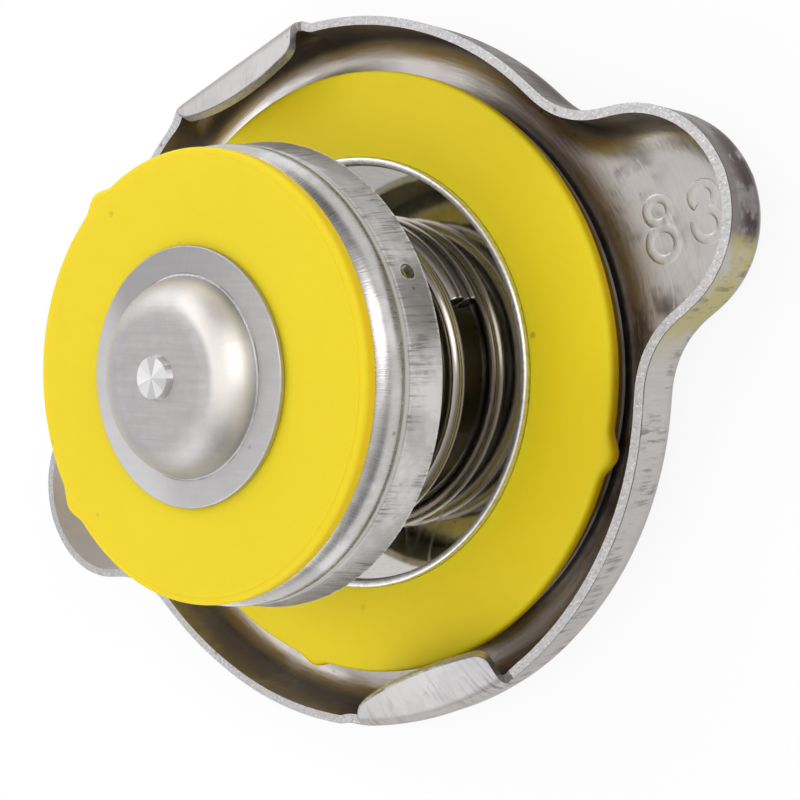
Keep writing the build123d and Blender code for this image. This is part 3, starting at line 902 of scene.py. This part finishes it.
def dome_marks(tree, place, tone, level):
    """Vacuum plate: a broken line of painted shade where the dome leaves the flat ring, brushed
    lines and mottling, painted light at the front of the ring and painted shade at its back,
    painted light on the left side and a warm painted highlight on the shoulder at the right."""
    radius = cylinder_place(tree, place)[0]
    x, y, _ = split(tree, place)
    start, end = ((dome_base_radius + offset) * MM for offset in (0.30, 0.36))
    crease = band(tree, radius, start, end, 0.00004)
    lines = use_group(tree, brushed, place, Fineness=2600.0)["Lines"]
    mottle = noise(tree, place, 700.0, 6.0, 0.75)
    flat = ramp(tree, radius, (dome_base_radius + 0.1) * MM, (dome_base_radius + 0.4) * MM)
    shoulder = both(tree, band(tree, radius, 0.0056, 0.0070, 0.0006), ramp(tree, x, 0.0030, 0.0056))
    return painted(
        tree, tone,
        (dome_crease_painted_shade, crease, ramp(tree, noise(tree, place, 500.0), 0.40, 0.60)),
        (dome_line, ramp(tree, lines, 0.35, 0.62, 0.14, 0.0)),
        (dome_mottle, ramp(tree, mottle, 0.35, 0.65, 0.30, 0.0)),
        (ring_front_painted_light, flat, ramp(tree, y, -0.008, 0.002, 0.2, 0.0)),
        (ring_back_painted_shade, flat, ramp(tree, y, 0.001, 0.009, 0.0, 0.75)),
        (dome_left_painted_light, ramp(tree, x, -0.007, -0.003, 0.5, 0.0)),
        (dome_painted_highlight, shoulder, 0.7),
    ), level


# Materials

ROUND, ACROSS, STRAIGHT = 0, 1, 2     # lay of the grain: about the axis, across, brushed
scratch_depth = 0.25
bump_height = 0.0004         # in metres, at full strength
grain_dark = (0.30, 0.28, 0.27)
steel_speck = (0.16, 0.13, 0.11)
# painted light and shade for the stem's facets
facet_painted_shade = (0.70, 0.69, 0.68)
facet_painted_light = (0.94, 0.93, 0.92)
silicone_speck = (0.28, 0.17, 0.02)
# painted shade on the silicone's side
silicone_side_painted_shade = (0.80, 0.50, 0.0)


def steel(name, colour, rough, fineness, lay, relief, dirt, patch, stain=None,
          edge_tint=(1.0, 1.0, 1.0)):
    """Stainless steel: grain, cloudy patches, scratches and specks in colour,
    roughness and bump. fineness and lay are the grain's, relief is the bump's
    strength, dirt the share of specks and patch the size of a cloud in metres.
    stain adds the piece's own marks, which on some pieces include painted light, shade
    and reflections, and edge_tint colours what it reflects at a grazing angle."""
    made, tree, shader = new_material(name)
    place = object_place(tree)
    if lay == STRAIGHT:
        lines = use_group(tree, brushed, place, Fineness=fineness)["Lines"]
    else:
        lines = use_group(tree, grain, place, Fineness=fineness, Lay=lay)["Grain"]
    marks = use_group(tree, blotches, place, Patch=patch, Amount=dirt)
    cuts = use_group(tree, scratches, place)["Scratches"]
    cuts = both(tree, cuts, ramp(tree, marks["Patches"], 0.45, 0.65))
    dark = tuple(c * 0.80 for c in colour)
    tone = painted(
        tree, mix_colour(tree, marks["Patches"], dark, colour),
        (grain_dark, ramp(tree, lines, 0.3, 0.7, 0.16, 0.0)),
        (steel_speck, marks["Specks"], 0.8),
    )
    level = maths(tree, "MULTIPLY_ADD", lines, rough * 0.5, rough * 0.65)
    level = added(tree, level, marks["Patches"], rough * 0.3)
    level = added(tree, level, cuts, scratch_depth * 0.5)
    if stain:
        tone, level = stain(tree, place, tone, level)
    feed(tree, shader, {
        "Base Color": tone, "Roughness": level, "Metallic": 1.0,
        "Specular Tint": (*edge_tint, 1),
        "Normal": bump(tree, added(tree, lines, cuts, -scratch_depth), bump_height, relief),
    })
    return made


def star_steel():
    """Staked head of the stem: facets that meet in its middle, some in painted light and some in
    painted shade, at random.
    """
    made, tree, shader = new_material("staked steel")
    radius, angle, _ = cylinder_place(tree, object_place(tree))
    facets, first_turn = 5, 0.31
    sectors = maths(tree, "MULTIPLY_ADD", angle, facets / (2 * math.pi), first_turn)
    chance = node(tree, "ShaderNodeTexWhiteNoise", {
        "W": maths(tree, "FLOOR", sectors),
    }, noise_dimensions="1D").outputs["Value"]
    fold = maths(tree, "ABSOLUTE", maths(tree, "SUBTRACT", maths(tree, "FRACT", sectors), 0.5))
    feed(tree, shader, {
        "Base Color": mix_colour(tree, chance, facet_painted_shade, facet_painted_light),
        "Metallic": 1.0, "Roughness": 0.38,
        "Normal": bump(tree, both(tree, fold, radius, 1 / MM), bump_height, 0.5),
    })
    return made


def silicone(name, colour, deep, top):
    """Matt yellow silicone with fine grain, faint clouds and dark specks, and painted shade
    in a deeper orange on its side, below the height of its top face."""
    made, tree, shader = new_material(name)
    place = object_place(tree)
    marks = use_group(tree, blotches, place, Patch=0.009, Speck=0.0015, Amount=0.03)
    tone = mix_colour(tree, marks["Patches"], deep, colour)
    side = ramp(tree, split(tree, place)[2], (top - 0.6) * MM, (top - 0.15) * MM, 0.6, 0.0)
    fine = noise(tree, place, 2600.0, 3.0, 0.6)
    feed(tree, shader, {
        "Base Color": painted(
            tree, tone, (silicone_speck, marks["Specks"], 0.55), (silicone_side_painted_shade, side)
        ),
        "Roughness": maths(tree, "MULTIPLY_ADD", fine, 0.2, 0.48),
        "Specular IOR Level": 0.3, "Subsurface Weight": 0.5,
        "Subsurface Radius": (1.0, 0.6, 0.05), "Subsurface Scale": 0.0016,
        "Normal": bump(tree, fine, 0.0001, 0.12),
    })
    return made


shell_steel = steel("shell steel", (0.61, 0.595, 0.58), rough=0.30, fineness=5200.0, lay=ACROSS,
                    relief=0.05, dirt=0.10, patch=0.009, stain=shell_outside_marks,
                    edge_tint=(0.70, 0.68, 0.68))
lining_steel = steel("shell inside steel", (0.62, 0.59, 0.565), rough=0.30, fineness=4200.0,
                     lay=ROUND, relief=0.05, dirt=0.10, patch=0.007, stain=shell_inside_marks)
cut_edge = steel("cut edge steel", (0.64, 0.63, 0.62), rough=0.42, fineness=16000.0, lay=ACROSS,
                 relief=0.16, dirt=0.30, patch=0.0004, stain=sheared_marks)
mirror_steel = steel("mirror steel", (0.62, 0.60, 0.56), rough=0.05, fineness=12000.0, lay=ROUND,
                     relief=0.004, dirt=0.16, patch=0.006, stain=plate_marks)
cup_steel = steel("cup steel", (0.60, 0.585, 0.565), rough=0.30, fineness=9000.0, lay=ACROSS,
                  relief=0.08, dirt=0.16, patch=0.004, stain=cup_marks)
vacuum_steel = steel("vacuum steel", (0.60, 0.585, 0.575), rough=0.46, fineness=6500.0,
                     lay=STRAIGHT, relief=0.03, dirt=0.08, patch=0.005, stain=dome_marks)
spring_steel = steel("spring steel", (0.44, 0.40, 0.345), rough=0.14, fineness=9000.0, lay=ROUND,
                     relief=0.02, dirt=0.08, patch=0.004)
inner_steel = steel("inner steel", (0.52, 0.51, 0.49), rough=0.30, fineness=9000.0, lay=ROUND,
                    relief=0.03, dirt=0.10, patch=0.006)
staked_steel = star_steel()
gasket_silicone = silicone("gasket silicone", (0.84, 0.665, 0.008), (0.80, 0.62, 0.006),
                           gasket_high)
seal_silicone = silicone("seal silicone", (0.80, 0.625, 0.010), (0.77, 0.60, 0.008), seal_high)

finish = {
    "centre_rivet": inner_steel, "friction_washer": inner_steel, "spring_disc": inner_steel,
    "spring_plate": mirror_steel, "guide_post": inner_steel, "valve_cup": cup_steel,
    "valve_hub": inner_steel, "seal_ferrule": inner_steel, "vacuum_plate": vacuum_steel,
    "vacuum_stem": staked_steel, "stem_keeper": inner_steel,
}
for node_name, material in finish.items():
    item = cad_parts[node_name]
    item.data.materials.clear()
    item.data.materials.append(material)


# Shell: the grid is the outside, the sheet grows inwards

shell = piece("pressed_shell", merged(shell_mesh()), shell_steel)
shell.data.materials.append(lining_steel)
shell.data.materials.append(cut_edge)
thick = shell.modifiers.new("sheet", "SOLIDIFY")
thick.thickness = sheet * MM
thick.offset = -1
thick.use_even_offset = True
thick.material_offset = 1
thick.material_offset_rim = 2
edges = shell.modifiers.new("edges", "BEVEL")
edges.width = rim_bevel * MM
edges.segments = 2
edges.limit_method = "ANGLE"
edges.angle_limit = math.radians(50)
edges.harden_normals = True
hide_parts("cap_shell")
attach(shell, "shell")

# Plain numerals pressed into the right ear, seen from inside
for numeral_name, strokes in numeral_strokes.items():
    numeral_mesh = merged(stroke_mesh(strokes, deck_height + sheet))
    numeral = piece(numeral_name, numeral_mesh, lining_steel)
    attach(numeral, "shell")


# Gasket, seal and springs

gasket_section = rounded_section((
    (gasket_bore, gasket_low, 0.1),
    (gasket_radius - gasket_undercut, gasket_low, 0.3),
    (gasket_radius, gasket_high - gasket_lip, 0.35),
    (gasket_radius, gasket_high, 0.5),
    (rebate_radius, gasket_high, 0.15),
    (rebate_radius, gasket_high - rebate_depth, 0.05),
    (gasket_bore, gasket_high - rebate_depth, 0.05),
))
gasket_mesh = turned("gasket", gasket_section,
                     moulding_nubs(gasket_nub_angles, gasket_radius, gasket_low, gasket_high))
gasket = piece("neck_gasket", merged(gasket_mesh), gasket_silicone)
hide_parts("cap_gasket")
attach(gasket, "turning_stack")

seal_section = rounded_section((
    (seal_bore, seal_low, 0.05),
    (seal_radius, seal_low, 0.2),
    (seal_radius, seal_high - seal_line_drop, 0.3),
    (seal_radius - seal_line_inset, seal_high - seal_line_drop, 0.02),
    (seal_radius - seal_line_inset - seal_line_drop, seal_high, 0.02),
    (seal_bore, seal_high, 0.05),
))
seal_mesh = turned("seal", seal_section,
                   moulding_nubs(seal_nub_angles, seal_radius, seal_low, seal_high))
seal = piece("valve_seal_ring", merged(seal_mesh), seal_silicone)
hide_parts("valve_seal")
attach(seal, "pressure_valve")

coil_piece("main_coil", "pressure_spring", "turning_stack",
           main_coil_radius, main_wire_radius, main_coil_spans, main_start_angle)
coil_piece("small_coil", "vacuum_spring", "pressure_valve",
           small_coil_radius, small_wire_radius, small_coil_spans)


# Floor, light and camera

def floor_material():
    """Pale floor: keeps its shadow, and is lifted to white where the camera sees it."""
    made, tree, shader = new_material("pale floor")
    tree.nodes.remove(shader)
    diffuse = node(tree, "ShaderNodeBsdfDiffuse", {"Color": (0.9, 0.9, 0.9, 1)})
    glow = node(tree, "ShaderNodeEmission", {"Color": (1, 1, 1, 1), "Strength": 1.0})
    path = tree.nodes.new("ShaderNodeLightPath").outputs
    seen = maths(tree, "MAXIMUM", path["Is Camera Ray"], path["Is Glossy Ray"])
    seen = maths(tree, "MAXIMUM", seen, path["Is Transmission Ray"])
    lift = 0.86
    lifted = node(tree, "ShaderNodeMixShader", {
        0: both(tree, seen, lift), 1: diffuse.outputs[0], 2: glow.outputs[0],
    })
    feed(tree, tree.nodes["Material Output"], {"Surface": lifted.outputs[0]})
    return made


def studio_world():
    """Plain soft studio: an even level with a few soft panels, each a smooth spot
    round its direction, with its half width and softness in degrees and the light
    that it adds."""
    made = bpy.data.worlds.new("studio")
    made.use_nodes = True
    tree = made.node_tree
    direction = tree.nodes.new("ShaderNodeTexCoord").outputs["Generated"]
    level = 0.62      # the even light
    darkest = 0.05
    for towards, half_width, softness, light in (
        ((-0.45, 0.85, 0.10), 28, 18, 0.55),      # pale panel, low at the back
        ((-0.72, 0.02, 0.69), 13, 12, 0.22),      # pale panel, left
        ((-0.62, 0.45, 0.64), 9, 12, -0.16),      # dark strip beside it
        ((-0.58, -0.58, 0.52), 16, 12, 1.3),      # soft box, front left
        ((0.86, 0.0, 0.47), 13, 9, 2.6),          # soft box, right
        ((0.47, 0.71, 0.51), 22, 18, -0.5),       # dark gap, back right
        ((0.22, -0.10, 0.97), 42, 30, 0.5),       # wide soft box overhead
        ((0.30, -0.90, 0.25), 30, 25, -0.35),     # dark side, front
        ((-0.25, 0.80, 0.50), 17, 12, 1.6),       # soft box, back left
    ):
        dot = node(tree, "ShaderNodeVectorMath", {
            0: direction, 1: Vector(towards).normalized(),
        }, operation="DOT_PRODUCT").outputs["Value"]
        edge = math.cos(math.radians(half_width + softness))
        full = math.cos(math.radians(half_width - softness / 2))
        level = maths(tree, "ADD", level, ramp(tree, dot, edge, full, 0.0, light))
    feed(tree, tree.nodes["Background"], {
        "Strength": maths(tree, "MAXIMUM", level, darkest), "Color": (0.98, 0.98, 1.0, 1),
    })
    return made


floor_reach = 0.9
floor_signs = ((-1, -1), (1, -1), (1, 1), (-1, 1))
floor_corners = [(x * floor_reach, y * floor_reach, 0) for x, y in floor_signs]
floor_mesh = bpy.data.meshes.new("floor")
floor_mesh.from_pydata(floor_corners, [], [(0, 1, 2, 3)])
floor = piece("floor", floor_mesh, floor_material())

bpy.context.scene.world = studio_world()

# Camera where the photograph was taken from
camera_place = Vector((75.468, -27.930, 101.9)) * MM
camera_right = Vector((0.73054, -0.29694, -0.6149))
camera_up = Vector((0.35453, 0.93455, -0.0301))
camera_back = camera_right.cross(camera_up)
lens = bpy.data.cameras.new("camera")
lens.sensor_width = 36
lens.lens = 67.5
lens.clip_start = 0.01
camera = bpy.data.objects.new("camera", lens)
turn = Matrix((camera_right, camera_up, camera_back)).transposed().to_4x4()
camera.matrix_world = Matrix.Translation(camera_place) @ turn
bpy.context.scene.collection.objects.link(camera)
bpy.context.scene.camera = camera

bpy.context.scene.view_settings.view_transform = "Standard"
